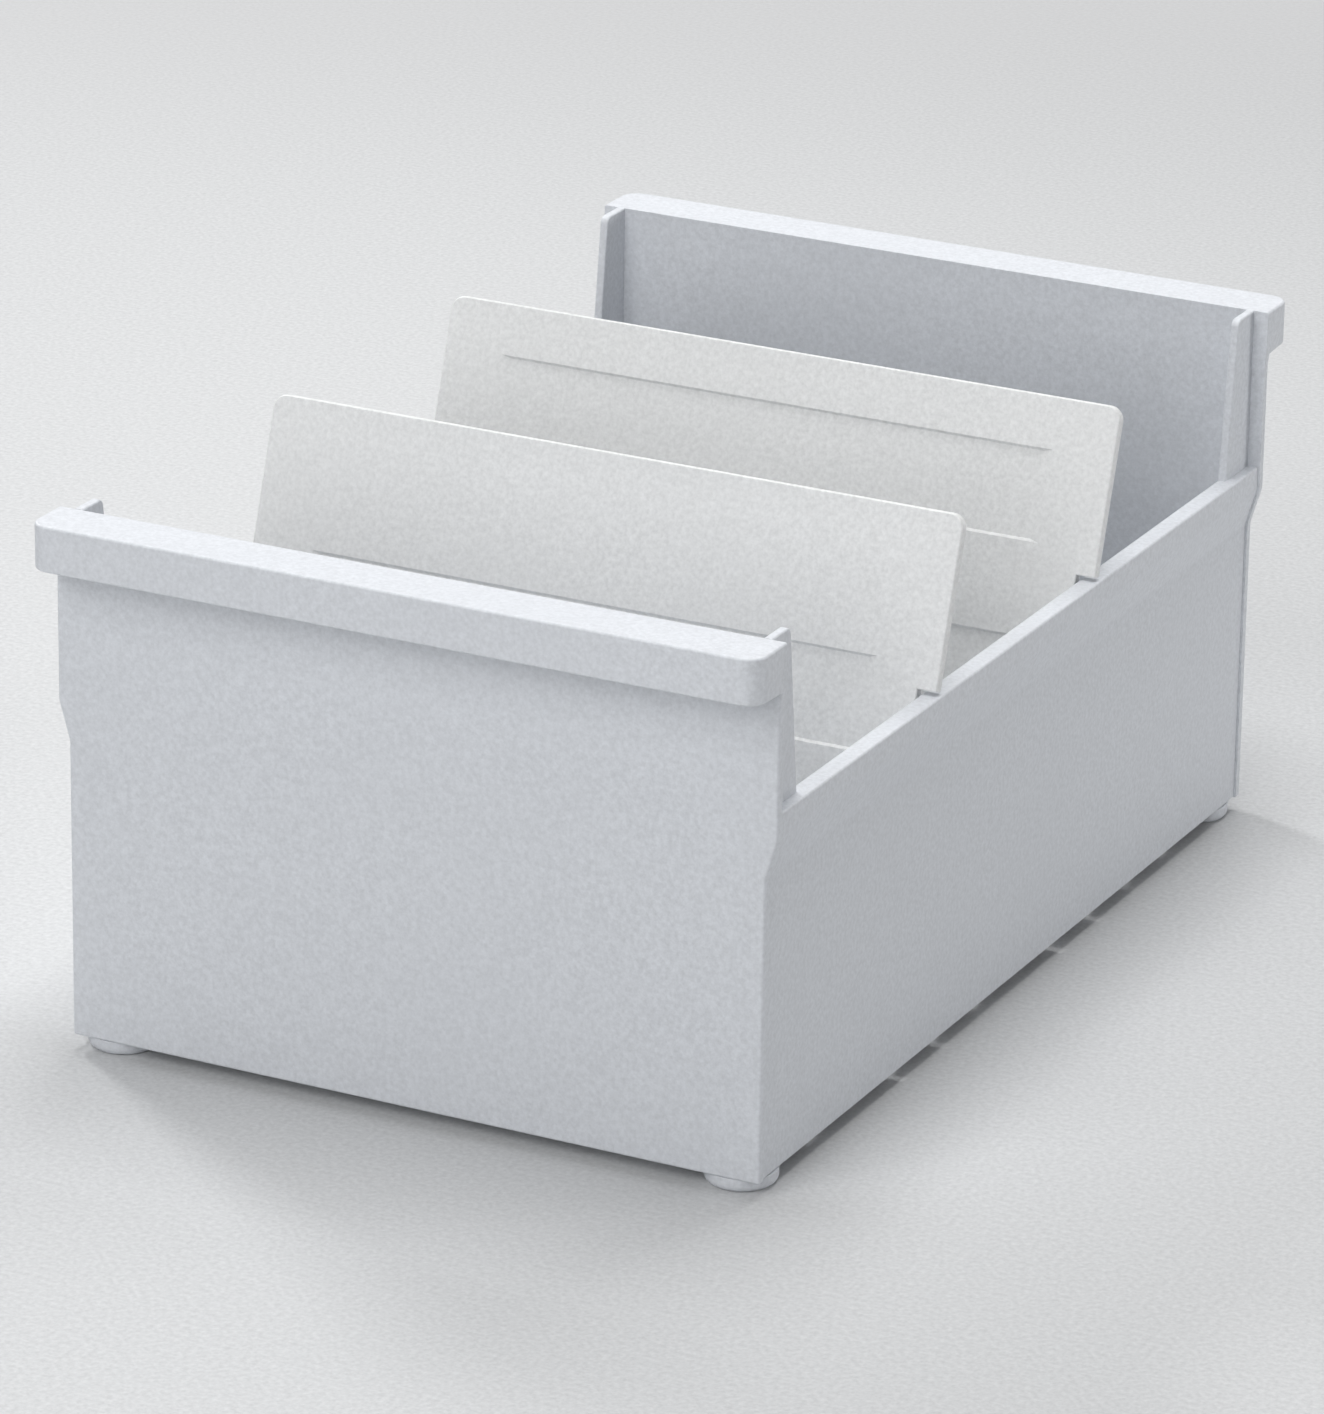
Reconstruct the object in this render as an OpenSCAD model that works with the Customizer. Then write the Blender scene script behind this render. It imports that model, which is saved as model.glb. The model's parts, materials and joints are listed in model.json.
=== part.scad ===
// Index card tray for A5 cards that stand landscape.
// A long open trough with a tall panel at each end, two support plates that
// lean back in slots in the floor, and a round foot under each corner.
// X runs across the tray, Y from the front panel to the rear panel and Z up.
// The origin is on the table, under the middle of the tray. Millimetres.

/* [Card space] */
// Clear width between the side walls
inside_width = 218; // [170:1:320]
// Clear length between the end panels
inside_length = 340; // [300:1:460]

/* [Trough] */
// Thickness of the side walls and of the corner gussets
wall = 2.7; // [2:0.1:4]
// Thickness of the floor
floor_thick = 3; // [2.4:0.1:4]
// Height of the rim above the underside of the floor
side_height = 112; // [90:1:130]
// How far the rim stands out past the wall below it
rim_flare = 3.5; // [2:0.1:7]
// Height of the upright band under the rim
rim_band = 7.5; // [4:0.5:14]
// Height of the slope between that band and the wall
flare_height = 12; // [6:0.5:20]

/* [Corner gussets] */
// Depth of a gusset along the rim
gusset_foot = 18; // [16:0.5:26]
// Depth of a gusset at its head
gusset_head = 12; // [11:0.5:16]
// Radius of a gusset's top corner
gusset_radius = 2.5; // [2:0.5:8]
// Drop from the top of the panel to a gusset's head
gusset_drop = 0; // [0:0.1:4]

/* [End panels] */
// Thickness of an end panel
panel_thick = 3; // [2.4:0.1:5]
// Height of an end panel
panel_height = 163; // [150:1:190]
// How far a panel's edge stands proud of the trough
panel_proud = 0.8; // [0.4:0.1:2]

/* [Grip lips] */
// Reach of a lip out from its panel
lip_reach = 15; // [12:0.5:24]
// Height of a lip's skirt
lip_drop = 14; // [9:0.5:24]
// Thickness of a lip's skirt
lip_wall = 2.5; // [1.6:0.1:4]
// Thickness of a lip's top
lip_top = 2.5; // [1.6:0.1:4]
// How far a lip stands out past the panel's side edges
lip_overhang = 0.5; // [0:0.1:3]
// Radius of a lip's outer corners
lip_corner = 6; // [4.5:0.5:10]

/* [Joint of trough and panels] */
// Thickness of the tongues on the ends of the trough
tongue_thick = 1.3; // [0.8:0.1:1.8]
// Reach of a tongue into its panel
tongue_reach = 1.4; // [0.8:0.1:1.8]
// Clearance round a tongue in its groove
tongue_gap = 0.1; // [0.05:0.05:0.2]

/* [Floor slots] */
// Distance from one slot to the next along the floor
slot_pitch = 28; // [20:0.5:36]
// Distance from the front panel to the middle of the first slot
slot_first = 42; // [34:1:60]
// Length of a slot across the tray
slot_length = 28; // [18:1:40]
// Width of a slot along the tray
slot_width = 4.6; // [4:0.1:6]
// Gap between a slot's outer end and the side wall
slot_inset = 2; // [1:0.5:10]

/* [Support plates] */
// Thickness of a plate
plate_thick = 3.5; // [2.5:0.1:5]
// Lean of a resting plate from upright, in degrees
plate_lean = 18; // [12:0.5:20]
// Drop from the top of the panels to a resting plate's top edge
plate_drop = 0.2; // [0:0.1:8]
// Clearance between a plate and each side wall
plate_side_gap = 1; // [0.5:0.1:3]
// How far a plate's shoulders stop short of the rim's outer edge
shoulder_inset = 1.2; // [0:0.1:3]
// Clearance between a resting shoulder and the rim
shoulder_gap = 0.3; // [0.2:0.05:0.6]
// Clearance between a plate's lower edge and the floor
plate_floor_gap = 0.5; // [0.3:0.1:2]
// Radius of a plate's top corners
plate_corner = 4.5; // [2:0.5:12]
// Slot pair that holds the front plate, counted from the front
front_plate_slot = 2; // [2:1:3]
// Slot pair that holds the rear plate, counted from the front
rear_plate_slot = 6; // [6:1:7]

/* [Plate fields] */
// Width of the sunk fields in a plate's faces
field_width = 188; // [120:1:200]
// Height of each field
field_height = 28.5; // [20:0.5:36]
// Distance from a plate's top edge to the first field
field_first = 16; // [10:0.5:24]
// Depth of a field
field_depth = 1; // [0.4:0.1:1.1]
// Least margin under the lowest field
field_margin = 5; // [3:0.5:12]

/* [Plate lugs] */
// Clearance between a lug and each side of its slot
lug_gap = 0.3; // [0.2:0.05:0.5]
// Clearance at each end of a lug
lug_end_gap = 2; // [0.5:0.5:4]
// Thickness of the neck that carries a lug
lug_neck = 2.4; // [1.6:0.1:2.6]

/* [Feet] */
// Diameter of a foot
foot_d = 21.6; // [14:0.2:26]
// Height of a foot
foot_height = 4.5; // [3:0.1:9]
// Distance from the tray's outer faces to a foot's middle
foot_inset = 11; // [11:0.5:24]
// Diameter of the peg that holds a foot in the floor
foot_peg_d = 8; // [5:0.2:12]
// Clearance between a foot's peg and its hole, on the radius
foot_peg_gap = 0.05; // [0.02:0.01:0.1]

/* [Hidden] */
$fn = 96;
// Depth by which a cut runs past the face that it opens
cut = 1;

tray_grey = [0.78, 0.79, 0.81];
plate_white = [0.89, 0.90, 0.90];

// Heights
under = foot_height;
floor_z = under + floor_thick;
rim_z = under + side_height;
band_z = rim_z - rim_band;
flare_z = band_z - flare_height;
panel_z = under + panel_height;
gusset_z = panel_z - gusset_drop;

// Half widths
inner_x = inside_width / 2;
wall_x = inner_x + wall;
rim_x = wall_x + rim_flare;
panel_low_x = wall_x + panel_proud;
panel_high_x = rim_x + panel_proud;
lip_x = panel_high_x + lip_overhang;

// Half lengths
inner_y = inside_length / 2;
panel_y = inner_y + panel_thick;
lip_y = panel_y + lip_reach;

// Gusset outline, measured from its panel and sloping back to its head
gusset_slope = atan((gusset_foot - gusset_head) / (gusset_z - rim_z));
gusset_round_z = gusset_z - gusset_radius;
gusset_round_y = gusset_head + gusset_radius * tan(gusset_slope)
    - gusset_radius / cos(gusset_slope);

// Slots
slot_count = floor((inside_length - 2 * slot_first) / slot_pitch) + 1;
slot_x = inner_x - slot_inset - slot_length / 2;
function slot_y(number) = slot_first - inner_y + (number - 1) * slot_pitch;

// Plates, measured up the plate from the middle of its lugs
pivot_z = under + floor_thick / 2;
lug_r = slot_width / 2 - lug_gap;
lug_length = slot_length - 2 * lug_end_gap;
plate_low_x = inner_x - plate_side_gap;
plate_high_x = rim_x - shoulder_inset;
// How much a leaning edge's own thickness adds to its height or its depth
edge_tilt = plate_thick / 2 * sin(plate_lean);
// Height on the plate at which its leaning edge clears a level by a gap
function clear_of(level, gap) = (level - pivot_z + gap + edge_tilt) / cos(plate_lean);
plate_base = clear_of(floor_z, plate_floor_gap);
plate_shoulder = clear_of(rim_z, shoulder_gap);
plate_top = (panel_z - plate_drop - pivot_z - edge_tilt) / cos(plate_lean);
field_count = floor((plate_top - field_first - field_margin - plate_base) / field_height);

// Feet
foot_x = panel_low_x - foot_inset;
foot_y = panel_y - foot_inset;

// Copies on both sides of the tray's middle plane
module both_sides() {
    children();
    mirror([1, 0, 0]) children();
}

// Copies at the front and at the rear
module both_ends() {
    children();
    mirror([0, 1, 0]) children();
}

// A box between two corners
module block(low, high) {
    translate(low) cube(high - low);
}

// A cross section of the tray, drawn in X and Z and carried from y0 to y1
module along_y(points, y0, y1) {
    translate([0, y1, 0]) rotate([90, 0, 0]) linear_extrude(y1 - y0) polygon(points);
}

// Floor, walls and flared rims in one section
module trough_shell() {
    along_y([
        [-wall_x, under], [wall_x, under], [wall_x, flare_z], [rim_x, band_z],
        [rim_x, rim_z], [inner_x, rim_z], [inner_x, floor_z],
        [-inner_x, floor_z], [-inner_x, rim_z], [-rim_x, rim_z],
        [-rim_x, band_z], [-wall_x, flare_z]
    ], -inner_y, inner_y);
}

// Upright gusset that carries the wall up beside the front right panel edge
module gusset() {
    edge_y = gusset_round_y + gusset_radius * cos(gusset_slope);
    edge_z = gusset_round_z + gusset_radius * sin(gusset_slope);
    translate([inner_x, -inner_y, 0]) {
        rotate([90, 0, 90]) linear_extrude(wall) polygon([
            [0, rim_z], [gusset_foot, rim_z], [edge_y, edge_z],
            [gusset_round_y, gusset_round_z], [gusset_round_y, gusset_z], [0, gusset_z]
        ]);
        translate([0, gusset_round_y, gusset_round_z]) rotate([0, 90, 0])
            cylinder(h = wall, r = gusset_radius);
    }
}

// Tongues on the front end of the trough, or their grooves where gap is set
module end_tongues(gap = 0) {
    mid_x = inner_x + wall / 2;
    mid_z = under + floor_thick / 2;
    half = tongue_thick / 2 + gap;
    reach = tongue_reach + gap;
    block([-inner_x + tongue_thick - gap, -inner_y - reach, mid_z - half],
          [inner_x - tongue_thick + gap, -inner_y, mid_z + half]);
    both_sides()
        block([mid_x - half, -inner_y - reach, floor_z - gap],
              [mid_x + half, -inner_y, gusset_round_z - lip_drop + gap]);
}

// Every slot in the floor
module floor_slots() {
    for (number = [1 : slot_count], side = [-1, 1])
        translate([side * slot_x, slot_y(number), floor_z - floor_thick / 2])
            cube([slot_length, slot_width, floor_thick + 2 * cut], center = true);
}

module at_feet() {
    both_sides() both_ends() translate([foot_x, foot_y, 0]) children();
}

module trough() {
    color(tray_grey) difference() {
        union() {
            trough_shell();
            both_sides() both_ends() gusset();
            both_ends() end_tongues();
        }
        floor_slots();
        at_feet() translate([0, 0, under - cut])
            cylinder(h = floor_thick + 2 * cut, d = foot_peg_d + 2 * foot_peg_gap);
    }
}

// A slab from y0 back to y1 with its two front corners rounded
module front_rounded_slab(half_x, y0, y1, z0, z1, radius) {
    block([-half_x, y0 + radius, z0], [half_x, y1, z1]);
    block([-half_x + radius, y0, z0], [half_x - radius, y1, z1]);
    both_sides() translate([half_x - radius, y0 + radius, z0])
        cylinder(h = z1 - z0, r = radius);
}

// An end panel with its hollow grip lip, as it stands at the front
module end_panel() {
    color(tray_grey) difference() {
        union() {
            along_y([
                [-panel_low_x, under], [panel_low_x, under], [panel_low_x, flare_z],
                [panel_high_x, band_z], [panel_high_x, panel_z],
                [-panel_high_x, panel_z], [-panel_high_x, band_z], [-panel_low_x, flare_z]
            ], -panel_y, -inner_y);
            front_rounded_slab(lip_x, -lip_y, -inner_y, panel_z - lip_drop, panel_z, lip_corner);
        }
        front_rounded_slab(lip_x - lip_wall, lip_wall - lip_y, -panel_y,
            panel_z - lip_drop - cut, panel_z - lip_top, lip_corner - lip_wall);
        end_tongues(tongue_gap);
    }
}

module front_panel() {
    end_panel();
}

module rear_panel() {
    mirror([0, 1, 0]) end_panel();
}

// Upright plate without its fields: the wide head over the narrow body
module plate_blank() {
    y = plate_thick / 2;
    block([-plate_low_x, -y, plate_base], [plate_low_x, y, plate_top - plate_corner]);
    block([-plate_high_x, -y, plate_shoulder], [plate_high_x, y, plate_top - plate_corner]);
    block([-plate_high_x + plate_corner, -y, plate_shoulder],
          [plate_high_x - plate_corner, y, plate_top]);
    both_sides() translate([plate_high_x - plate_corner, y, plate_top - plate_corner])
        rotate([90, 0, 0]) cylinder(h = plate_thick, r = plate_corner);
}

// Sunk fields, one under another, on the front face and the back face in turn
module plate_fields() {
    for (row = [0 : field_count - 1]) {
        top = plate_top - field_first - row * field_height;
        face = row % 2 == 0 ? -plate_thick / 2 - cut : plate_thick / 2 - field_depth;
        block([-field_width / 2, face, top - field_height],
              [field_width / 2, face + field_depth + cut, top]);
    }
}

// Round lugs that hang a plate in its two slots and let it tilt
module plate_lugs() {
    both_sides() translate([slot_x - lug_length / 2, 0, 0]) {
        rotate([0, 90, 0]) cylinder(h = lug_length, r = lug_r);
        block([0, -lug_neck / 2, 0], [lug_length, lug_neck / 2, plate_base + cut]);
    }
}

// A plate at rest in a slot pair, turned round where turn is 180
module support_plate(number, turn) {
    color(plate_white) translate([0, slot_y(number), pivot_z])
        rotate([-plate_lean, 0, 0]) rotate([0, 0, turn]) {
            difference() {
                plate_blank();
                plate_fields();
            }
            plate_lugs();
        }
}

module front_support_plate() {
    support_plate(front_plate_slot, 180);
}

module rear_support_plate() {
    support_plate(rear_plate_slot, 0);
}

// A round foot with the peg that holds it in the floor
module foot(side, end) {
    color(tray_grey) translate([side * foot_x, end * foot_y, 0]) {
        cylinder(h = foot_height, d = foot_d);
        cylinder(h = floor_z, d = foot_peg_d);
    }
}

module front_left_foot() { foot(-1, -1); }
module front_right_foot() { foot(1, -1); }
module rear_left_foot() { foot(-1, 1); }
module rear_right_foot() { foot(1, 1); }

trough();
front_panel();
rear_panel();
front_support_plate();
rear_support_plate();
front_left_foot();
front_right_foot();
rear_left_foot();
rear_right_foot();
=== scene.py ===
"""Index card tray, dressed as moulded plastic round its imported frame."""

import json
import math

import bmesh
import bpy
from bpy.props import FloatProperty, FloatVectorProperty, IntProperty, PointerProperty
from mathutils import Matrix, Vector


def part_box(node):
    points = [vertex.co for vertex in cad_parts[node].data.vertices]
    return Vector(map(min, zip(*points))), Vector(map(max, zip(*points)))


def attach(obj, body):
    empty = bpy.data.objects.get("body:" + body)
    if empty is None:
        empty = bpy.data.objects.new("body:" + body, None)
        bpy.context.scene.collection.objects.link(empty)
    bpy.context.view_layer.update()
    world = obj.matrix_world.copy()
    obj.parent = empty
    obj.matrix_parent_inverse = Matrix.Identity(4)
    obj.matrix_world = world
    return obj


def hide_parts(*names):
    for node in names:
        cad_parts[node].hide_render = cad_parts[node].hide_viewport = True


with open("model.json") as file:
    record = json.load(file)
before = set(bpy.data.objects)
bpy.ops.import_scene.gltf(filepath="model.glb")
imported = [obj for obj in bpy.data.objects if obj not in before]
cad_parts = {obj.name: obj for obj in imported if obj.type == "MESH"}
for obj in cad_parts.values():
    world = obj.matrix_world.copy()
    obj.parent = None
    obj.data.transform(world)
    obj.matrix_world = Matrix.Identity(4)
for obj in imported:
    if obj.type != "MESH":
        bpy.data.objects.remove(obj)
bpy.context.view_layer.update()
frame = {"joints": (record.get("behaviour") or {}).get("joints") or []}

bl_info = {
    "name": "Index Card Tray",
    "version": (1, 0, 0),
    "blender": (4, 5, 0),
    "location": "View3D > Sidebar > Card Tray",
    "description": "Builds an open card tray with tilting support plates",
    "category": "Add Mesh",
}

MM = 0.001
# Two points closer than this are one point
SAME = 1e-6
# Part of a direction along an axis above which it counts as facing that way
FACING = 0.9
# An edge that bends more than this is rounded, and one that bends more than the
# second stays sharp in the shading
SHARP_BEND = math.radians(30)
SHADED_BEND = math.radians(35)
# Steps of an arc: a slot's fine edge, a moulded edge, a hollow, a small and a large corner
FINE_STEPS, EDGE_STEPS, FILLET_STEPS, CORNER_STEPS, WIDE_STEPS = 2, 3, 4, 6, 8
# The picture that the camera frames, in pixels
PICTURE_LONG_SIDE = 1414
# The table's radius and the distances from the tray's middle between which it
# fades away, in metres
TABLE_RADIUS = 6
FADE_START, FADE_END = 0.7, 1.5

TROUGH_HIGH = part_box("trough")[1]
PANEL_LOW, PANEL_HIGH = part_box("front_panel")
FOOT_LOW, FOOT_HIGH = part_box("front_right_foot")
PIVOTS = {joint["child"]: Vector(joint["pos_m"]) for joint in frame["joints"]}
# Half lengths and heights that the frame sets: the clear length, the lips, the rims
# and the top of the panels
INNER_Y = -PANEL_HIGH.y
LIP_X, LIP_Y = PANEL_HIGH.x, -PANEL_LOW.y
RIM_X, TOP_Z = TROUGH_HIGH.x, PANEL_HIGH.z


# Settings

def size(name, description, millimetres):
    """A length that a user may change, given in millimetres."""
    return FloatProperty(name=name, description=description, default=millimetres * MM,
                         min=0.0, unit="LENGTH", precision=4)


def linear(code):
    """Linear RGB of an sRGB hex colour."""
    parts = [int(code[i:i + 2], 16) / 255 for i in (1, 3, 5)]
    return [p / 12.92 if p <= 0.04045 else ((p + 0.055) / 1.055) ** 2.4 for p in parts]


def colour(name, description, code):
    """A colour that a user may change, given as an sRGB hex value."""
    return FloatVectorProperty(name=name, description=description, default=linear(code),
                               min=0.0, max=1.0, size=3, subtype="COLOR")


class CardTraySizes(bpy.types.PropertyGroup):
    """Sizes of the trough, the end panels and the feet"""

    inside_width: size("Inside width", "Clear width between the side walls", 218)
    wall: size("Wall", "Thickness of the side walls and the corner gussets", 2.7)
    floor_thick: size("Floor", "Thickness of the floor", 3)
    side_height: size("Side height", "Height of the rim above the floor's underside", 112)
    rim_band: size("Rim band", "Height of the upright band under the rim", 7.5)
    flare_height: size("Flare", "Height of the slope under the rim band", 12)
    gusset_foot: size("Gusset foot", "Depth of a corner gusset along the rim", 18)
    gusset_head: size("Gusset head", "Depth of a corner gusset at its head", 12)
    gusset_radius: size("Gusset radius", "Radius of a gusset's top corner", 2.5)
    slot_pitch: size("Slot pitch", "Distance from one floor slot to the next", 28)
    slot_first: size("First slot", "Distance from the front panel to the first slot", 42)
    slot_length: size("Slot length", "Length of a floor slot across the tray", 28)
    slot_width: size("Slot width", "Width of a floor slot along the tray", 4.6)
    slot_inset: size("Slot inset", "Gap between a slot's outer end and the wall", 2)
    slot_count: IntProperty(name="Slots", description="Slots in each row", default=10, min=1)
    panel_thick: size("Panel", "Thickness of an end panel", 3)
    panel_proud: size("Panel proud", "How far a panel's edge stands proud of the trough", 0.8)
    lip_reach: size("Lip reach", "Reach of a grip lip out from its panel", 15)
    lip_drop: size("Lip drop", "Height of a grip lip's skirt", 14)
    lip_wall: size("Lip wall", "Thickness of a grip lip's skirt", 2.5)
    lip_top: size("Lip top", "Thickness of a grip lip's top", 2.5)
    lip_corner: size("Lip corner", "Radius of a grip lip's outer corners", 6)
    lip_blend: size("Lip blend", "Height over which a lip runs out into the panel's edge", 3.5)
    foot_inset: size("Foot inset", "Distance from the outer faces to a foot's middle", 11)
    foot_round: size("Foot round", "Radius of a foot's lower edge", 2.4)
    peg_d: size("Peg", "Diameter of the peg that holds a foot in the floor", 8)
    peg_gap: size("Peg gap", "Clearance round a foot's peg", 0.05)
    edge_round: size("Edge round", "Radius of the moulded edges", 0.6)
    panel_round: size("Panel round", "Radius of the panels' moulded edges", 0.8)
    floor_fillet: size("Floor fillet", "Radius between the floor and the walls", 1.2)
    slot_round: size("Slot round", "Radius of the slots' edges", 0.3)

    @property
    def under(self):
        """Height of the floor's underside above the table."""
        return PANEL_LOW.z

    @property
    def floor_z(self):
        """Height of the floor's upper side."""
        return self.under + self.floor_thick

    @property
    def rim_z(self):
        """Height of the rims."""
        return self.under + self.side_height

    @property
    def band_z(self):
        """Height of the lower edge of the rim band."""
        return self.rim_z - self.rim_band

    @property
    def flare_z(self):
        """Height at which the slope under the rim band begins."""
        return self.band_z - self.flare_height

    @property
    def inner_x(self):
        """Half the clear width."""
        return self.inside_width / 2

    @property
    def wall_x(self):
        """Half the width over the lower walls."""
        return self.inner_x + self.wall

    @property
    def slot_x(self):
        """Distance of a slot's middle from the tray's middle."""
        return self.inner_x - self.slot_inset - self.slot_length / 2

    @property
    def foot_x(self):
        """Distance of a foot's middle from the tray's middle, across."""
        return self.wall_x + self.panel_proud - self.foot_inset

    @property
    def foot_y(self):
        """Distance of a foot's middle from the tray's middle, along."""
        return INNER_Y + self.panel_thick - self.foot_inset


class CardPlateSizes(bpy.types.PropertyGroup):
    """Sizes of the support plates"""

    thick: size("Thickness", "Thickness of a plate", 3.5)
    lean: FloatProperty(name="Lean", description="Lean of a resting plate from upright",
                        default=math.radians(18), subtype="ANGLE")
    drop: size("Drop", "Drop from the panels' top to a plate's top edge", 0.2)
    side_gap: size("Side gap", "Clearance between a plate and each side wall", 1)
    shoulder_inset: size("Shoulder inset", "How far the shoulders stop short of the rim", 1.2)
    shoulder_gap: size("Shoulder gap", "Clearance between a shoulder and the rim", 0.3)
    floor_gap: size("Floor gap", "Clearance between a plate and the floor", 0.5)
    corner: size("Corner", "Radius of a plate's top corners", 4.5)
    field_width: size("Field width", "Width of the sunk fields", 188)
    field_height: size("Field height", "Height of each sunk field", 28.5)
    field_first: size("First field", "Distance from the top edge to the first field", 16)
    field_depth: size("Field depth", "Depth of a field", 1)
    field_slope: size("Field slope", "Run of the slope along a field's edges", 0.8)
    field_end: size("Field end", "Run of the gentler slope at a field's ends", 3)
    field_count: IntProperty(name="Fields", description="Fields on the two faces together",
                             default=5, min=1)
    lug_gap: size("Lug gap", "Clearance between a lug and each side of its slot", 0.3)
    lug_end_gap: size("Lug end gap", "Clearance at each end of a lug", 2)
    lug_neck: size("Lug neck", "Thickness of the neck that carries a lug", 2.4)
    edge_round: size("Edge round", "Radius of a plate's moulded edges", 0.6)


class CardTrayColours(bpy.types.PropertyGroup):
    """Colours of the plastics and the table"""

    tray: colour("Tray", "Light grey of the tray's plastic", "#D3D6DB")
    plate: colour("Plates", "Pale grey of the plates' plastic", "#E4E5E5")
    table: colour("Table", "Pale surface that the tray stands on", "#D2D3D4")
    backdrop: colour("Backdrop", "Pale backdrop behind the table", "#DDDDDE")


# Mesh helpers

def verts_of(geom):
    """The vertices in a list of mesh elements."""
    return [g for g in geom if isinstance(g, bmesh.types.BMVert)]


def faces_of(geom):
    """The faces in a list of mesh elements."""
    return [g for g in geom if isinstance(g, bmesh.types.BMFace)]


def faces_where(bm, test):
    """Faces whose middle and normal pass a test."""
    bm.normal_update()
    return [f for f in bm.faces if test(f.calc_center_median(), f.normal)]


def edges_where(bm, test):
    """Edges whose middle and direction pass a test."""
    chosen = []
    for edge in bm.edges:
        a, b = (v.co for v in edge.verts)
        if test((a + b) / 2, (b - a).normalized()):
            chosen.append(edge)
    return chosen


def outline_face(bm, points, y):
    """A face at one Y from an outline in X and Z."""
    return bm.faces.new([bm.verts.new((x, y, z)) for x, z in points])


def push(bm, faces, vector):
    """Extrudes faces along a vector and gives back the moved faces."""
    # Without its edges, a region would leave its old faces behind inside the piece
    edges = {e for f in faces for e in f.edges}
    grown = bmesh.ops.extrude_face_region(bm, geom=list(faces) + list(edges))["geom"]
    bmesh.ops.translate(bm, vec=vector, verts=verts_of(grown))
    return faces_of(grown)


def cut(bm, faces, place, normal):
    """Splits only these faces along a plane and gives back their pieces."""
    geom = set(faces)
    for face in faces:
        geom.update(face.edges)
        geom.update(face.verts)
    result = bmesh.ops.bisect_plane(bm, geom=list(geom), dist=SAME,
                                    plane_co=place, plane_no=normal)
    return faces_of(result["geom"])


def round_edges(bm, edges, radius, segments):
    """Rounds edges with one arc."""
    bmesh.ops.bevel(bm, geom=edges, offset=radius, offset_type="OFFSET", affect="EDGES",
                    segments=segments, profile=0.5, material=-1, clamp_overlap=True)


def merge_flat(bm):
    """Joins faces that lie in one plane."""
    bmesh.ops.dissolve_limit(bm, angle_limit=math.radians(0.05), verts=bm.verts,
                             edges=bm.edges, use_dissolve_boundaries=False)


def sharp_edges(bm, test):
    """Outward edges with a marked bend whose middle and direction pass a test."""
    bm.normal_update()
    return [e for e in edges_where(bm, test)
            if e.is_manifold and e.calc_face_angle() > SHARP_BEND and e.is_convex]


def mirror_half(bm):
    """Opens the half piece on the middle plane and adds its other half."""
    bmesh.ops.delete(bm, context="FACES", geom=faces_where(
        bm, lambda c, n: abs(c.x) < SAME and abs(n.x) > FACING))
    bmesh.ops.mirror(bm, geom=bm.verts[:] + bm.edges[:] + bm.faces[:], axis="X",
                     matrix=Matrix.Identity(4), merge_dist=SAME)
    bmesh.ops.recalc_face_normals(bm, faces=bm.faces)


def make_piece(bm, name, body, finish, node):
    """Turns a mesh into a piece that rides on a body and stands for a node."""
    bmesh.ops.recalc_face_normals(bm, faces=bm.faces)
    mesh = bpy.data.meshes.new(name)
    bm.to_mesh(mesh)
    bm.free()
    mesh.materials.append(finish)
    mesh.shade_smooth()
    mesh.set_sharp_from_angle(angle=SHADED_BEND)
    piece = bpy.data.objects.new(name, mesh)
    bpy.context.scene.collection.objects.link(piece)
    flat = piece.modifiers.new("Flat faces", "WEIGHTED_NORMAL")
    flat.keep_sharp = True
    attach(piece, body)
    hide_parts(node)


# Materials

def add_node(tree, kind, inputs, **settings):
    """Adds a node, sets its fields, and sets or links its inputs."""
    node = tree.nodes.new(kind)
    for field, value in settings.items():
        setattr(node, field, value)
    for key, value in inputs.items():
        if isinstance(value, bpy.types.NodeSocket):
            tree.links.new(value, node.inputs[key])
        else:
            node.inputs[key].default_value = value
    return node


def per_metre(millimetres):
    """Texture scale that gives a pattern this size."""
    return 1 / (millimetres * MM)


def shade(base, factor):
    """A lighter or darker version of a linear colour."""
    return [min(1.0, part * factor) for part in base] + [1.0]


def cleared_tree(owner):
    """The node tree of a material or a world, emptied."""
    owner.use_nodes = True
    owner.node_tree.nodes.clear()
    return owner.node_tree


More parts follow.
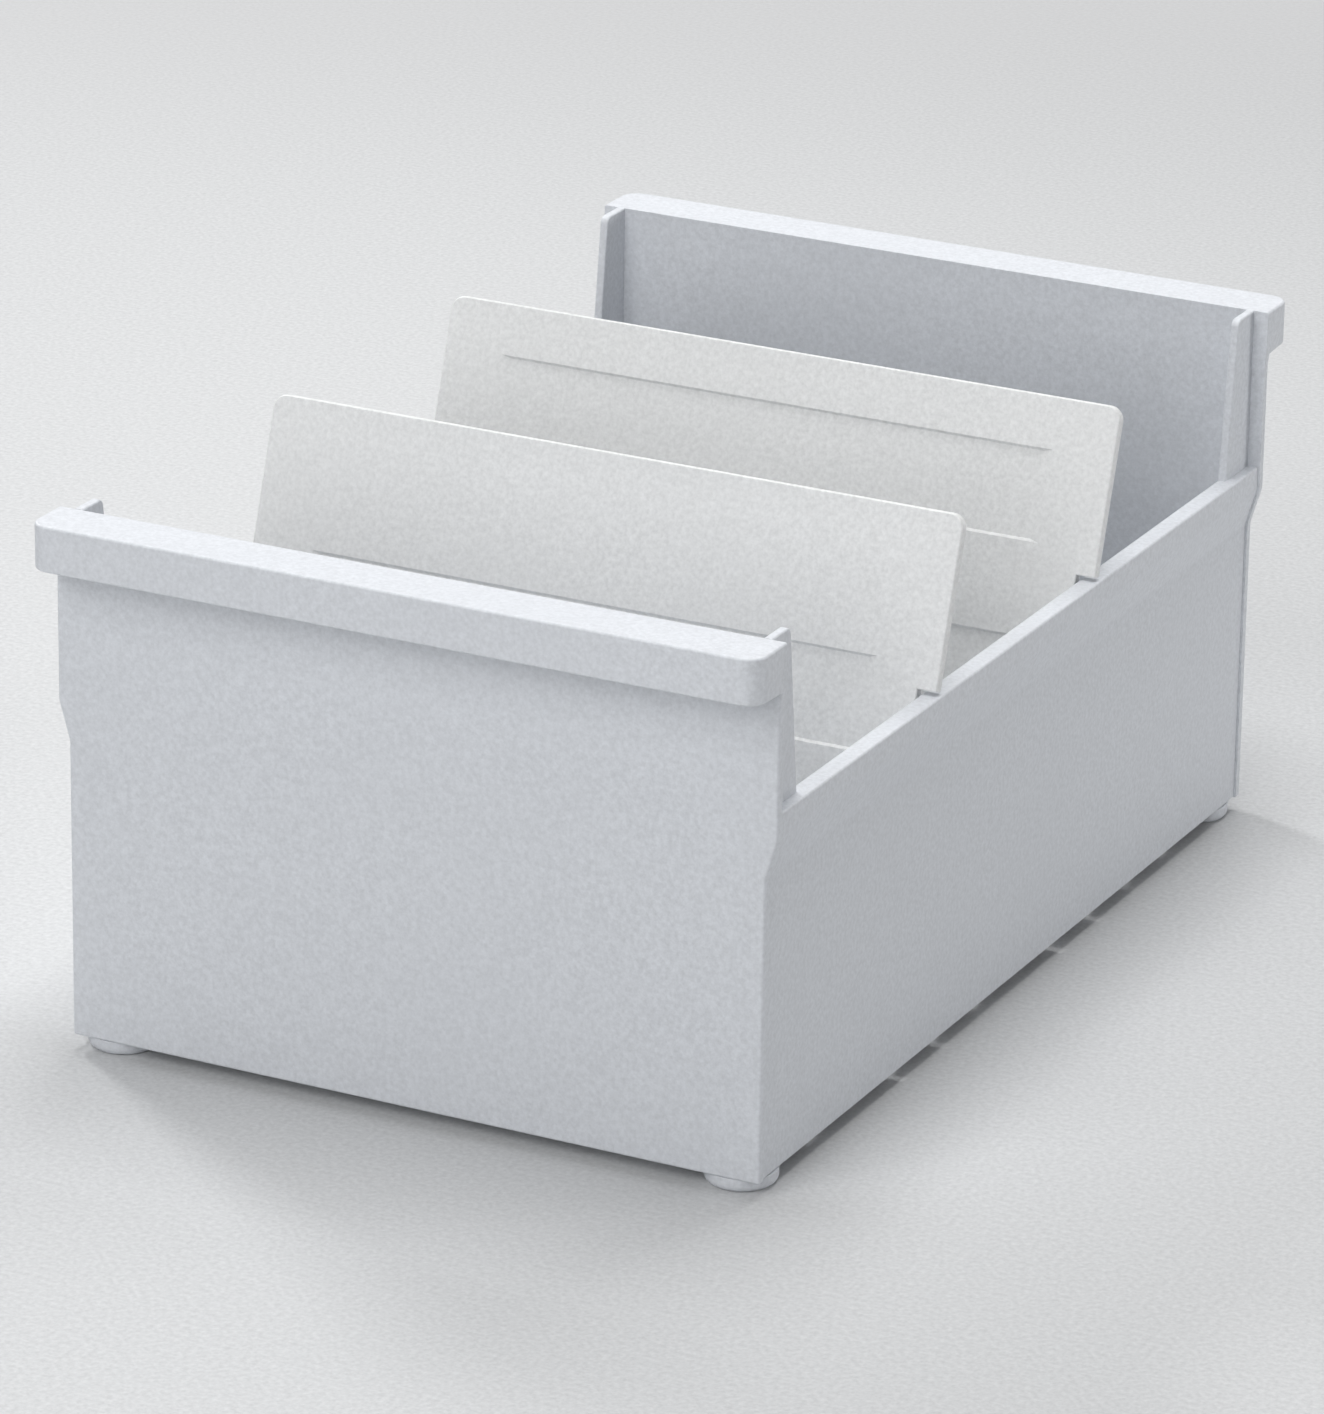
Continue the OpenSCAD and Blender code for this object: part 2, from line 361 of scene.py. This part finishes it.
def moulded_polystyrene(name, base, roughness):
    """Polystyrene moulded in a spark-eroded tool: satin, with a fine even grain
    that breaks up highlights, and faint clouds where the melt met and cooled."""
    material = bpy.data.materials.get(name) or bpy.data.materials.new(name)
    tree = cleared_tree(material)
    place = add_node(tree, "ShaderNodeTexCoord", {}).outputs["Object"]
    # The tool's grain is about 0.3 mm, too fine for the picture, so it is drawn at 1.4 mm
    grain = add_node(tree, "ShaderNodeTexNoise", {
        "Vector": place, "Scale": per_metre(1.4), "Detail": 2.0, "Roughness": 0.6})
    clouds = add_node(tree, "ShaderNodeTexNoise", {
        "Vector": place, "Scale": per_metre(55), "Detail": 2.0, "Roughness": 0.5})
    speck = add_node(tree, "ShaderNodeMapRange", {
        "Value": grain.outputs["Fac"], "From Min": 0.25, "From Max": 0.75})
    tint = add_node(tree, "ShaderNodeMix", {
        "Factor": speck.outputs["Result"], "A": shade(base, 0.89), "B": shade(base, 1.11)},
        data_type="RGBA")
    haze = add_node(tree, "ShaderNodeMapRange", {
        "Value": clouds.outputs["Fac"], "From Min": 0.3, "From Max": 0.7,
        "To Min": 0.0, "To Max": 0.25})
    skin = add_node(tree, "ShaderNodeMix", {
        "Factor": haze.outputs["Result"], "A": tint.outputs["Result"],
        "B": shade(base, 0.97)}, data_type="RGBA")
    gloss = add_node(tree, "ShaderNodeMapRange", {
        "Value": grain.outputs["Fac"], "From Min": 0.25, "From Max": 0.75,
        "To Min": roughness - 0.04, "To Max": roughness + 0.04})
    bump = add_node(tree, "ShaderNodeBump", {
        "Height": grain.outputs["Fac"], "Strength": 0.25, "Distance": 0.06 * MM})
    shader = add_node(tree, "ShaderNodeBsdfPrincipled", {
        "Base Color": skin.outputs["Result"], "Roughness": gloss.outputs["Result"],
        "IOR": 1.59, "Normal": bump.outputs["Normal"]})
    add_node(tree, "ShaderNodeOutputMaterial", {"Surface": shader.outputs["BSDF"]})
    return material


def tray_plastic(context):
    """The tray's light grey."""
    return moulded_polystyrene("moulded_polystyrene_light_grey",
                               context.scene.card_tray_colours.tray, 0.5)


def plate_plastic(context):
    """The plates' paler grey."""
    return moulded_polystyrene("moulded_polystyrene_pale_grey",
                               context.scene.card_tray_colours.plate, 0.46)


def seen_rays(tree):
    """One for rays that show a thing straight on, in gloss or through glass."""
    path = add_node(tree, "ShaderNodeLightPath", {})
    seen = path.outputs["Is Camera Ray"]
    for ray in ("Is Glossy Ray", "Is Transmission Ray"):
        seen = add_node(tree, "ShaderNodeMath", {0: seen, 1: path.outputs[ray]},
                        operation="MAXIMUM").outputs[0]
    return seen


def matt_card(name, base, backdrop):
    """Uncoated photo card: matt, with short soft fibres. Far from the tray, where
    the lamps don't reach, it runs out into the pale backdrop."""
    material = bpy.data.materials.get(name) or bpy.data.materials.new(name)
    tree = cleared_tree(material)
    place = add_node(tree, "ShaderNodeTexCoord", {}).outputs["Object"]
    fibre = add_node(tree, "ShaderNodeTexNoise", {
        "Vector": place, "Scale": per_metre(1.8), "Detail": 2.0, "Roughness": 0.6})
    tint = add_node(tree, "ShaderNodeMapRange", {
        "Value": fibre.outputs["Fac"], "From Min": 0.25, "From Max": 0.75})
    skin = add_node(tree, "ShaderNodeMix", {
        "Factor": tint.outputs["Result"], "A": shade(base, 0.9), "B": shade(base, 1.1)},
        data_type="RGBA")
    shader = add_node(tree, "ShaderNodeBsdfPrincipled", {
        "Base Color": skin.outputs["Result"], "Roughness": 0.9, "Specular IOR Level": 0.2})
    away = add_node(tree, "ShaderNodeVectorMath", {0: place}, operation="LENGTH")
    fade = add_node(tree, "ShaderNodeMapRange", {
        "Value": away.outputs["Value"], "From Min": FADE_START, "From Max": FADE_END},
        interpolation_type="SMOOTHERSTEP")
    shown = add_node(tree, "ShaderNodeMath", {
        0: fade.outputs["Result"], 1: seen_rays(tree)}, operation="MULTIPLY")
    pale = add_node(tree, "ShaderNodeEmission", {"Color": (*backdrop, 1.0), "Strength": 1.0})
    surface = add_node(tree, "ShaderNodeMixShader", {
        0: shown.outputs[0], 1: shader.outputs["BSDF"], 2: pale.outputs[0]})
    add_node(tree, "ShaderNodeOutputMaterial", {"Surface": surface.outputs[0]})
    return material


# Trough

def trough_half_shell(bm, s):
    """Right half of the floor, wall and flared rim, from panel to panel."""
    start = outline_face(bm, [
        (0, s.under), (s.wall_x, s.under), (s.wall_x, s.flare_z), (RIM_X, s.band_z),
        (RIM_X, s.rim_z), (s.inner_x, s.rim_z), (s.inner_x, s.floor_z), (0, s.floor_z),
    ], -INNER_Y)
    push(bm, [start], (0, 2 * INNER_Y, 0))
    bmesh.ops.recalc_face_normals(bm, faces=bm.faces)

    def along(x, z):
        return edges_where(bm, lambda c, d: abs(d.y) > FACING and abs(c.x - x) < SAME
                           and abs(c.z - z) < SAME)

    round_edges(bm, along(s.inner_x, s.floor_z), s.floor_fillet, FILLET_STEPS)
    round_edges(bm, along(s.wall_x, s.under), s.edge_round, EDGE_STEPS)
    round_edges(bm, along(s.wall_x, s.flare_z) + along(RIM_X, s.band_z), s.edge_round,
                EDGE_STEPS)


def trough_gussets(bm, s):
    """Gussets that carry the wall up to the panels' height at both ends."""
    depth = s.gusset_foot - s.gusset_head
    rise = TOP_Z - s.rim_z
    turn = math.radians(90) - math.atan2(depth, rise)
    for end in (-1, 1):
        rim = faces_where(bm, lambda c, n: n.z > FACING and abs(c.z - s.rim_z) < SAME)
        foot_y = end * (INNER_Y - s.gusset_foot)
        rim = cut(bm, rim, (0, foot_y, 0), (0, 1, 0))
        patch = [f for f in rim if (f.calc_center_median().y - foot_y) * end > 0]
        patch = [f for f in cut(bm, patch, (s.wall_x, 0, 0), (1, 0, 0))
                 if f.calc_center_median().x < s.wall_x]
        head = push(bm, patch, (0, 0, rise))
        inner = [v for f in head for v in f.verts if abs(v.co.y - foot_y) < SAME]
        bmesh.ops.translate(bm, vec=(0, end * depth, 0), verts=list(set(inner)))
    # Only the seams in the wall and in its ends go: a rim in one face would shade badly
    bmesh.ops.dissolve_edges(bm, use_verts=True, edges=edges_where(
        bm, lambda c, d: abs(c.z - s.rim_z) < SAME and abs(c.y) > INNER_Y - s.gusset_foot
        and (abs(c.x - s.inner_x) < SAME
             or abs(abs(c.y) - INNER_Y) < SAME and c.x < s.wall_x)))
    corner = edges_where(bm, lambda c, d: abs(d.x) > FACING and abs(c.z - TOP_Z) < SAME
                         and abs(c.y) < INNER_Y - SAME)
    round_edges(bm, corner, s.gusset_radius * math.tan(turn / 2), CORNER_STEPS)
    edges = sharp_edges(bm, lambda c, d: c.z > s.rim_z - SAME
                        and abs(abs(c.y) - INNER_Y) > SAME)
    round_edges(bm, edges, s.edge_round, EDGE_STEPS)
    # The rounding leaves the rim's faces a little bent, within half its own radius
    bmesh.ops.planar_faces(bm, iterations=20, factor=1.0, faces=faces_where(
        bm, lambda c, n: n.z > FACING and abs(c.z - s.rim_z) < s.edge_round / 2))


def floor_faces(bm, s, z):
    """Faces of the floor's upper or lower side."""
    return faces_where(bm, lambda c, n: abs(n.z) > FACING and abs(c.z - z) < SAME
                       and c.x < s.inner_x)


def trough_slots(bm, s):
    """Slots through the floor, in a row beside the wall."""
    ends = (s.slot_x - s.slot_length / 2, s.slot_x + s.slot_length / 2)
    middles = [s.slot_first - INNER_Y + i * s.slot_pitch for i in range(s.slot_count)]
    for z in (s.floor_z, s.under):
        for x in ends:
            cut(bm, floor_faces(bm, s, z), (x, 0, 0), (1, 0, 0))
        for y in (m + side * s.slot_width / 2 for m in middles for side in (-1, 1)):
            strip = [f for f in floor_faces(bm, s, z)
                     if abs(f.calc_center_bounds().x - s.slot_x) < SAME]
            cut(bm, strip, (0, y, 0), (0, 1, 0))
    for y in middles:
        place = Vector((s.slot_x, y))
        open_through(bm, s, *[
            f for z in (s.floor_z, s.under) for f in floor_faces(bm, s, z)
            if (f.calc_center_median().xy - place).length < SAME])


def open_through(bm, s, top, bottom):
    """Opens the floor between a face on its upper side and the same face underneath."""
    ends = push(bm, [top], (0, 0, -s.floor_thick)) + [bottom]
    rim = list({v for f in ends for v in f.verts})
    bmesh.ops.delete(bm, geom=ends, context="FACES_ONLY")
    bmesh.ops.remove_doubles(bm, verts=rim, dist=SAME)


def trough_peg_holes(bm, s):
    """Round holes through the floor for the feet's pegs."""
    radius = s.peg_d / 2 + s.peg_gap
    # Each hole is drawn in a square patch, whose sides are split into eighths
    half = 1.3 * radius
    side_cuts = 7
    for y in (-s.foot_y, s.foot_y):
        ends = []
        for z in (s.floor_z, s.under):
            middle = Vector((s.foot_x, y, z))
            patch = floor_faces(bm, s, z)
            for axis in (Vector((0, 1, 0)), Vector((1, 0, 0))):
                for side in (-1, 1):
                    edge = middle.dot(axis) + side * half
                    patch = [f for f in cut(bm, patch, axis * edge, axis)
                             if (f.calc_center_median().dot(axis) - edge) * side < 0]
            square = patch[0].edges[:]
            bmesh.ops.delete(bm, geom=patch, context="FACES_ONLY")
            split = bmesh.ops.subdivide_edges(bm, edges=square, cuts=side_cuts)["geom"]
            disc = bmesh.ops.edgeloop_fill(bm, edges=[
                g for g in split if isinstance(g, bmesh.types.BMEdge)])["faces"]
            bmesh.ops.inset_individual(bm, faces=disc, thickness=half - radius)
            for vert in disc[0].verts:
                vert.co = middle + (vert.co - middle).normalized() * radius
            ends += disc
        open_through(bm, s, *ends)


class CARDTRAY_OT_trough(bpy.types.Operator):
    """Builds the trough with its gussets and slotted floor"""

    bl_idname = "cardtray.trough"
    bl_label = "Trough"

    def execute(self, context):
        s = context.scene.card_tray_sizes
        bm = bmesh.new()
        trough_half_shell(bm, s)
        trough_gussets(bm, s)
        trough_peg_holes(bm, s)
        trough_slots(bm, s)
        bmesh.ops.recalc_face_normals(bm, faces=bm.faces)
        edges = sharp_edges(bm, lambda c, d: s.under - SAME < c.z < s.floor_z + SAME
                            and abs(d.z) < 0.5 and SAME < c.x < s.inner_x - s.floor_fillet
                            and abs(c.y) < INNER_Y - SAME)
        round_edges(bm, edges, s.slot_round, FINE_STEPS)
        mirror_half(bm)
        make_piece(bm, "card_trough", "tray", tray_plastic(context), "trough")
        return {"FINISHED"}


# End panels

def end_panel(bm, s):
    """The front panel, grown down out of its hollow grip lip."""
    lip_z = TOP_Z - s.lip_drop
    panel_y = INNER_Y + s.panel_thick
    low_x = s.wall_x + s.panel_proud
    high_x = RIM_X + s.panel_proud
    depth = LIP_Y - INNER_Y
    bmesh.ops.create_cube(bm, size=1, matrix=Matrix.Translation(
        (0, -INNER_Y - depth / 2, TOP_Z - s.lip_drop / 2)) @ Matrix.Diagonal(
        (2 * LIP_X, depth, s.lip_drop, 1)))
    round_edges(bm, edges_where(bm, lambda c, d: abs(d.z) > FACING and c.y < -INNER_Y - SAME),
                s.lip_corner, WIDE_STEPS)

    def under_lip():
        return faces_where(bm, lambda c, n: n.z < -FACING and abs(c.z - lip_z) < SAME)

    # The hollow starts at the panel's outer face, a skirt's thickness from this cut
    back_y = -panel_y + s.lip_wall
    lip = [f for f in cut(bm, under_lip(), (0, back_y, 0), (0, 1, 0))
           if f.calc_center_median().y < back_y]
    bmesh.ops.inset_region(bm, faces=lip, thickness=s.lip_wall, use_even_offset=True,
                           use_boundary=True)
    push(bm, lip, (0, 0, s.lip_drop - s.lip_top))
    cut(bm, under_lip(), (0, -panel_y, 0), (0, 1, 0))
    edge = [f for f in under_lip() if f.calc_center_median().y > -panel_y]
    z, half = lip_z, LIP_X
    for next_z, next_half in ((lip_z - s.lip_blend, high_x), (s.band_z, high_x),
                              (s.flare_z, low_x), (s.under, low_x)):
        edge = push(bm, edge, (0, 0, next_z - z))
        bmesh.ops.scale(bm, vec=(next_half / half, 1, 1),
                        verts=list({v for f in edge for v in f.verts}))
        z, half = next_z, next_half
    merge_flat(bm)
    bends = edges_where(bm, lambda c, d: abs(d.y) > FACING and abs(c.x) > low_x - SAME
                        and (abs(c.z - s.band_z) < SAME or abs(c.z - s.flare_z) < SAME))
    round_edges(bm, bends, s.panel_round, EDGE_STEPS)
    round_edges(bm, sharp_edges(bm, lambda c, d: c.y < -INNER_Y - SAME), s.panel_round,
                EDGE_STEPS)
    round_edges(bm, sharp_edges(bm, lambda c, d: c.y > -INNER_Y - SAME), s.slot_round,
                FINE_STEPS)


class CARDTRAY_OT_end_panels(bpy.types.Operator):
    """Builds the front and rear panels with their grip lips"""

    bl_idname = "cardtray.end_panels"
    bl_label = "End panels"

    def execute(self, context):
        s = context.scene.card_tray_sizes
        for name, node, turn in (("front_end_panel", "front_panel", 0),
                                 ("rear_end_panel", "rear_panel", math.pi)):
            bm = bmesh.new()
            end_panel(bm, s)
            bmesh.ops.rotate(bm, cent=(0, 0, 0), matrix=Matrix.Rotation(turn, 3, "Z"),
                             verts=bm.verts)
            make_piece(bm, name, "tray", tray_plastic(context), node)
        return {"FINISHED"}


# Support plates

class PlateLevels:
    """Heights on an upright plate, measured up from the middle of its lugs."""

    def __init__(self, s, p):
        pivot_z = s.under + s.floor_thick / 2
        tilt = p.thick / 2 * math.sin(p.lean)
        rise = math.cos(p.lean)
        self.base = (s.floor_z - pivot_z + p.floor_gap + tilt) / rise
        self.shoulder = (s.rim_z - pivot_z + p.shoulder_gap + tilt) / rise
        self.top = (TOP_Z - p.drop - pivot_z - tilt) / rise


def plate_blank(bm, s, p, levels):
    """The plate's outline in its full thickness, with its edges still sharp."""
    low_x = s.inner_x - p.side_gap
    high_x = RIM_X - p.shoulder_inset
    start = outline_face(bm, [
        (0, levels.base), (low_x, levels.base), (low_x, levels.shoulder),
        (high_x, levels.shoulder), (high_x, levels.top), (0, levels.top),
    ], -p.thick / 2)
    push(bm, [start], (0, p.thick, 0))
    bmesh.ops.recalc_face_normals(bm, faces=bm.faces)
    round_edges(bm, edges_where(bm, lambda c, d: abs(d.y) > FACING and c.x > low_x + SAME
                                and c.z > levels.top - SAME), p.corner, WIDE_STEPS)
    mirror_half(bm)
    merge_flat(bm)


def plate_fields(bm, p, levels):
    """Sunk fields, one under another, on the front face and the back face in turn."""
    for side in (-1, 1):
        rows = [i for i in range(p.field_count) if i % 2 == (0 if side < 0 else 1)]
        tops = [levels.top - p.field_first - i * p.field_height for i in rows]
        column = faces_where(bm, lambda c, n: n.y * side > FACING)
        for hand in (-1, 1):
            edge = hand * p.field_width / 2
            column = [f for f in cut(bm, column, (edge, 0, 0), (1, 0, 0))
                      if (f.calc_center_median().x - edge) * hand < 0]
        for z in [level for top in tops for level in (top, top - p.field_height)]:
            column = cut(bm, column, (0, 0, z), (0, 0, 1))
        fields = [f for f in column if any(
            abs(f.calc_center_median().z - top + p.field_height / 2) < SAME for top in tops)]
        bmesh.ops.inset_individual(bm, faces=fields, thickness=p.field_slope,
                                   depth=-p.field_depth, use_even_offset=True)
        shorter = (p.field_width / 2 - p.field_end) / (p.field_width / 2 - p.field_slope)
        bmesh.ops.scale(bm, vec=(shorter, 1, 1),
                        verts=list({v for f in fields for v in f.verts}))


def plate_lugs(bm, s, p, levels):
    """Round lugs on short necks under the plate's lower edge."""
    radius = s.slot_width / 2 - p.lug_gap
    length = s.slot_length - 2 * p.lug_end_gap
    neck = p.lug_neck / 2
    # Angles round the lug from its top: where the neck meets it, and its lowest flat
    start, end = math.asin(neck / radius), math.radians(172)
    steps = 9
    for side in (-1, 1):
        patch = faces_where(bm, lambda c, n: n.z < -FACING and c.z < levels.base + SAME
                            and c.x * side > -SAME)
        for axis, middle, half in ((Vector((1, 0, 0)), side * s.slot_x, length / 2),
                                   (Vector((0, 1, 0)), 0.0, neck)):
            for hand in (-1, 1):
                edge = middle + hand * half
                patch = [f for f in cut(bm, patch, axis * edge, axis)
                         if (f.calc_center_median().dot(axis) - edge) * hand < 0]
        z, half = levels.base, neck
        for step in range(steps + 1):
            angle = start + (end - start) * step / steps
            patch = push(bm, patch, (0, 0, radius * math.cos(angle) - z))
            bmesh.ops.scale(bm, vec=(1, radius * math.sin(angle) / half, 1),
                            verts=list({v for f in patch for v in f.verts}))
            z, half = radius * math.cos(angle), radius * math.sin(angle)


class CARDTRAY_OT_support_plates(bpy.types.Operator):
    """Builds the two leaning support plates"""

    bl_idname = "cardtray.support_plates"
    bl_label = "Support plates"

    def execute(self, context):
        s = context.scene.card_tray_sizes
        p = context.scene.card_plate_sizes
        levels = PlateLevels(s, p)
        for name, node, body, turn in (
                ("front_plate_moulding", "front_support_plate", "front_plate", math.pi),
                ("rear_plate_moulding", "rear_support_plate", "rear_plate", 0)):
            bm = bmesh.new()
            plate_blank(bm, s, p, levels)
            round_edges(bm, sharp_edges(bm, lambda c, d: True), p.edge_round, EDGE_STEPS)
            plate_lugs(bm, s, p, levels)
            plate_fields(bm, p, levels)
            bmesh.ops.transform(bm, verts=bm.verts, matrix=Matrix.Translation(PIVOTS[body])
                                @ Matrix.Rotation(-p.lean, 4, "X")
                                @ Matrix.Rotation(turn, 4, "Z"))
            make_piece(bm, name, body, plate_plastic(context), node)
        return {"FINISHED"}


# Feet

class CARDTRAY_OT_feet(bpy.types.Operator):
    """Turns the four round feet with their pegs"""

    bl_idname = "cardtray.feet"
    bl_label = "Feet"

    def execute(self, context):
        s = context.scene.card_tray_sizes
        disc = (FOOT_HIGH.x - FOOT_LOW.x) / 2
        peg = s.peg_d / 2
        for end, y in (("front", -s.foot_y), ("rear", s.foot_y)):
            for hand, x in (("left", -s.foot_x), ("right", s.foot_x)):
                bm = bmesh.new()
                chain = [bm.verts.new((r, 0, z)) for r, z in (
                    (0, 0), (disc, 0), (disc, s.under), (peg, s.under),
                    (peg, FOOT_HIGH.z), (0, FOOT_HIGH.z))]
                edges = [bm.edges.new(pair) for pair in zip(chain, chain[1:])]
                bmesh.ops.spin(bm, geom=chain + edges, cent=(0, 0, 0), axis=(0, 0, 1),
                               angle=2 * math.pi, steps=64, use_merge=True)
                bmesh.ops.remove_doubles(bm, verts=bm.verts, dist=SAME)
                bmesh.ops.recalc_face_normals(bm, faces=bm.faces)
                round_edges(bm, sharp_edges(bm, lambda c, d: c.z < SAME), s.foot_round,
                            CORNER_STEPS)
                round_edges(bm, sharp_edges(bm, lambda c, d: c.z > s.under - SAME),
                            s.slot_round, FINE_STEPS)
                bmesh.ops.translate(bm, vec=(x, y, 0), verts=bm.verts)
                make_piece(bm, f"{end}_{hand}_foot_disc", "tray",
                           tray_plastic(context), f"{end}_{hand}_foot")
        return {"FINISHED"}


# Stage

# Name, place in metres, side in metres and watts of each soft box
LAMPS = (
    ("overhead_soft_box", (0.0, 0.0, 1.5), 0.7, 10.3),
    ("back_soft_box", (0.0, 0.9, 1.4), 0.9, 6.9),
    ("front_fill", (0.3, -2.1, 0.9), 1.2, 15.6),
    ("front_high_fill", (-0.4, -1.45, 1.45), 0.8, 9.7),
    ("right_back_fill", (1.9, 1.2, 0.4), 0.7, 12.9),
    ("left_key", (-1.42, 0.71, 1.22), 0.35, 13.2),
)
LAMP_AIM = Vector((0.0, 0.0, 0.06))


def soft_box(name, place, side, watts):
    """A square soft box at a place, turned towards the tray."""
    lamp = bpy.data.lights.new(name, "AREA")
    lamp.shape, lamp.size, lamp.energy = "SQUARE", side, watts
    holder = bpy.data.objects.new(name, lamp)
    holder.location = place
    holder.rotation_euler = (LAMP_AIM - Vector(place)).to_track_quat("-Z", "Y").to_euler()
    bpy.context.scene.collection.objects.link(holder)


def studio_world(scene):
    """An even pale room that fills the shadows."""
    world = bpy.data.worlds.new("pale_room")
    scene.world = world
    tree = cleared_tree(world)
    room = add_node(tree, "ShaderNodeBackground", {
        "Color": (1.0, 1.0, 1.0, 1.0), "Strength": 0.05})
    shown = add_node(tree, "ShaderNodeBackground", {
        "Color": (*scene.card_tray_colours.backdrop, 1.0), "Strength": 1.0})
    mix = add_node(tree, "ShaderNodeMixShader", {
        0: seen_rays(tree), 1: room.outputs[0], 2: shown.outputs[0]})
    add_node(tree, "ShaderNodeOutputWorld", {"Surface": mix.outputs[0]})


def picture_camera(scene):
    """The photograph's long lens, from the front right and above."""
    focal_pixels, distance = 7690.3, 2.3537
    yaw, pitch, roll = (math.radians(a) for a in (26.7, 20.68, 0.857))
    aim = Vector((-13.48, 12.17, 64.5)) * MM
    data = bpy.data.cameras.new("picture_camera")
    data.sensor_width = 36
    data.lens = data.sensor_width * focal_pixels / PICTURE_LONG_SIDE
    data.clip_end = 50
    camera = bpy.data.objects.new("picture_camera", data)
    ahead = Vector((-math.sin(yaw) * math.cos(pitch), math.cos(yaw) * math.cos(pitch),
                    -math.sin(pitch)))
    camera.matrix_world = Matrix.Translation(aim - ahead * distance) @ (
        ahead.to_track_quat("-Z", "Y").to_matrix() @ Matrix.Rotation(roll, 3, "Z")).to_4x4()
    scene.collection.objects.link(camera)
    scene.camera = camera


class CARDTRAY_OT_stage(bpy.types.Operator):
    """Sets the table, the soft light and the camera"""

    bl_idname = "cardtray.stage"
    bl_label = "Stage"

    def execute(self, context):
        scene = context.scene
        bm = bmesh.new()
        bmesh.ops.create_circle(bm, cap_ends=True, segments=96, radius=TABLE_RADIUS)
        mesh = bpy.data.meshes.new("table_top")
        bm.to_mesh(mesh)
        bm.free()
        colours = scene.card_tray_colours
        mesh.materials.append(matt_card("matt_photo_card", colours.table, colours.backdrop))
        table = bpy.data.objects.new("table_top", mesh)
        scene.collection.objects.link(table)
        for lamp in LAMPS:
            soft_box(*lamp)
        studio_world(scene)
        picture_camera(scene)
        scene.view_settings.view_transform = "Standard"
        return {"FINISHED"}


# Sidebar

class CARDTRAY_PT_sidebar(bpy.types.Panel):
    """Lists the tray's settings and its builders"""

    bl_idname = "CARDTRAY_PT_sidebar"
    bl_label = "Card Tray"
    bl_space_type = "VIEW_3D"
    bl_region_type = "UI"
    bl_category = "Card Tray"

    def draw(self, context):
        scene = context.scene
        for group in (scene.card_tray_sizes, scene.card_plate_sizes, scene.card_tray_colours):
            box = self.layout.box()
            for field in group.bl_rna.properties:
                if not field.is_readonly and field.identifier != "name":
                    box.prop(group, field.identifier)
        for step in STEPS:
            self.layout.operator(step.bl_idname)


GROUPS = {
    "card_tray_sizes": CardTraySizes,
    "card_plate_sizes": CardPlateSizes,
    "card_tray_colours": CardTrayColours,
}
STEPS = (
    CARDTRAY_OT_stage,
    CARDTRAY_OT_trough,
    CARDTRAY_OT_end_panels,
    CARDTRAY_OT_support_plates,
    CARDTRAY_OT_feet,
)


def register():
    for attribute, group in GROUPS.items():
        bpy.utils.register_class(group)
        setattr(bpy.types.Scene, attribute, PointerProperty(type=group))
    for step in STEPS:
        bpy.utils.register_class(step)
    bpy.utils.register_class(CARDTRAY_PT_sidebar)


def unregister():
    bpy.utils.unregister_class(CARDTRAY_PT_sidebar)
    for step in reversed(STEPS):
        bpy.utils.unregister_class(step)
    for attribute, group in reversed(GROUPS.items()):
        delattr(bpy.types.Scene, attribute)
        bpy.utils.unregister_class(group)


def main():
    """Builds the whole tray."""
    register()
    bpy.ops.cardtray.stage()
    bpy.ops.cardtray.trough()
    bpy.ops.cardtray.end_panels()
    bpy.ops.cardtray.support_plates()
    bpy.ops.cardtray.feet()


if __name__ == "__main__":
    main()
